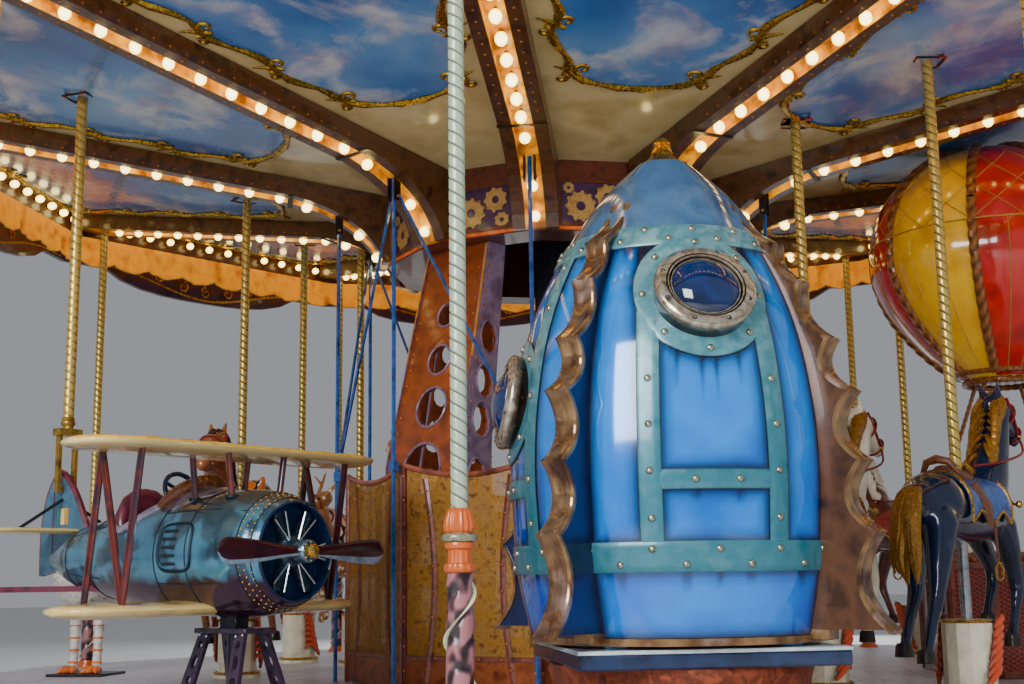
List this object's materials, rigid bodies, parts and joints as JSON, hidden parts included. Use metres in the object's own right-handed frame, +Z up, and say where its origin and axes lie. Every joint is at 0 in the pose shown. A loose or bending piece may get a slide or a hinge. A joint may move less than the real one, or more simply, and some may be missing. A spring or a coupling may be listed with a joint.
{
  "type": "fairground carousel",
  "caption": "Fairground carousel: a round platform that turns about a mast under a lit sloping ceiling, with a rocket, a biplane, a balloon and riding animals on sliding poles.",
  "frame": {"origin": "on the ground under the centre mast", "axes": "+Z up, -Y towards the viewer of the picture, +X to the right"},
  "size_m": [8.8042, 8.8924, 5.75],
  "materials": {
    "structural_steel": "satin",
    "mast_steel": "satin",
    "deck_boards": "satin",
    "gilded_pole": "polished",
    "beam_timber": "gloss",
    "ceiling_panel": "gloss",
    "drum_panel": "gloss",
    "tower_plate": "satin",
    "stay_rod_steel": "gloss",
    "screen_mesh": "satin",
    "valance_cloth": "matte",
    "rounding_board": "gloss",
    "roof_panel": "satin",
    "rocket_paint": "gloss",
    "rocket_bronze": "worn",
    "plinth_paint": "gloss",
    "fuselage_steel": "worn",
    "wing_cream": "gloss",
    "trestle_paint": "gloss",
    "propeller_wood": "gloss",
    "balloon_gores": "gloss",
    "basket_cane": "satin",
    "moulded_rope": "satin",
    "horse_navy": "gloss",
    "horse_cream": "gloss",
    "horse_brown": "gloss",
    "horse_bay": "gloss",
    "tiger_paint": "gloss",
    "deer_paint": "gloss",
    "giraffe_paint": "gloss",
    "bird_paint": "gloss",
    "stand_cream": "gloss"
  },
  "bodies": {
    "base": {"ground_frame": "structural_steel", "centre_mast": "mast_steel"},
    "turntable": {"deck_frame": "structural_steel", "deck": "deck_boards", "post_1": "gilded_pole", "post_2": "gilded_pole", "post_3": "gilded_pole", "post_4": "gilded_pole", "post_5": "gilded_pole", "post_6": "gilded_pole", "post_7": "gilded_pole", "post_8": "gilded_pole", "post_9": "gilded_pole", "post_10": "gilded_pole", "tail_pole": "gilded_pole", "beam_1": "beam_timber", "beam_2": "beam_timber", "beam_3": "beam_timber", "beam_4": "beam_timber", "beam_5": "beam_timber", "beam_6": "beam_timber", "beam_7": "beam_timber", "beam_8": "beam_timber", "beam_9": "beam_timber", "beam_10": "beam_timber", "rim_rail": "beam_timber", "ceiling": "ceiling_panel", "drum": "drum_panel", "tower": "tower_plate", "stay_rods": "stay_rod_steel", "centre_screen": "screen_mesh", "valance": "valance_cloth", "rounding_boards": "rounding_board", "roof": "roof_panel", "rocket_body": "rocket_paint", "rocket_fins": "rocket_bronze", "rocket_porthole_1": "rocket_bronze", "rocket_porthole_2": "rocket_bronze", "rocket_plinth": "plinth_paint", "biplane_body": "fuselage_steel", "biplane_wings": "wing_cream", "biplane_trestle": "trestle_paint", "balloon_envelope": "balloon_gores", "balloon_basket": "basket_cane", "balloon_ropes": "moulded_rope", "giraffe": "giraffe_paint", "bird": "bird_paint", "horse_stands": "stand_cream", "tiger_stand": "stand_cream", "deer_stand": "stand_cream", "horse_far_stand": "stand_cream", "horse_back_stand": "stand_cream"},
    "horse_outer_rider": {"horse_outer": "horse_navy"},
    "horse_inner_rider": {"horse_inner": "horse_cream"},
    "horse_far_rider": {"horse_far": "horse_brown"},
    "tiger_rider": {"tiger": "tiger_paint"},
    "deer_rider": {"deer": "deer_paint"},
    "horse_back_rider": {"horse_back": "horse_bay"},
    "propeller_blades": {"propeller": "propeller_wood"}
  },
  "joints": [
    {"name": "carousel_spin", "type": "hinge", "parent": "base", "child": "turntable", "pos_m": [0, 0, 0], "axis": [0, 0, 1], "continuous": true},
    {"name": "horse_outer_gallop", "type": "slide", "parent": "turntable", "child": "horse_outer_rider", "axis": [0, 0, 1], "range_m": [-0.15, 0.15]},
    {"name": "horse_inner_gallop", "type": "slide", "parent": "turntable", "child": "horse_inner_rider", "axis": [0, 0, 1], "range_m": [-0.15, 0.15]},
    {"name": "horse_far_gallop", "type": "slide", "parent": "turntable", "child": "horse_far_rider", "axis": [0, 0, 1], "range_m": [-0.15, 0.15]},
    {"name": "tiger_gallop", "type": "slide", "parent": "turntable", "child": "tiger_rider", "axis": [0, 0, 1], "range_m": [-0.15, 0.15]},
    {"name": "deer_gallop", "type": "slide", "parent": "turntable", "child": "deer_rider", "axis": [0, 0, 1], "range_m": [-0.15, 0.15]},
    {"name": "horse_back_gallop", "type": "slide", "parent": "turntable", "child": "horse_back_rider", "axis": [0, 0, 1], "range_m": [-0.15, 0.15]},
    {"name": "propeller_spin", "type": "hinge", "parent": "turntable", "child": "propeller_blades", "pos_m": [-1.334, -2.539, 1.116], "axis": [0.7907, -0.6122, 0], "continuous": true}
  ]
}
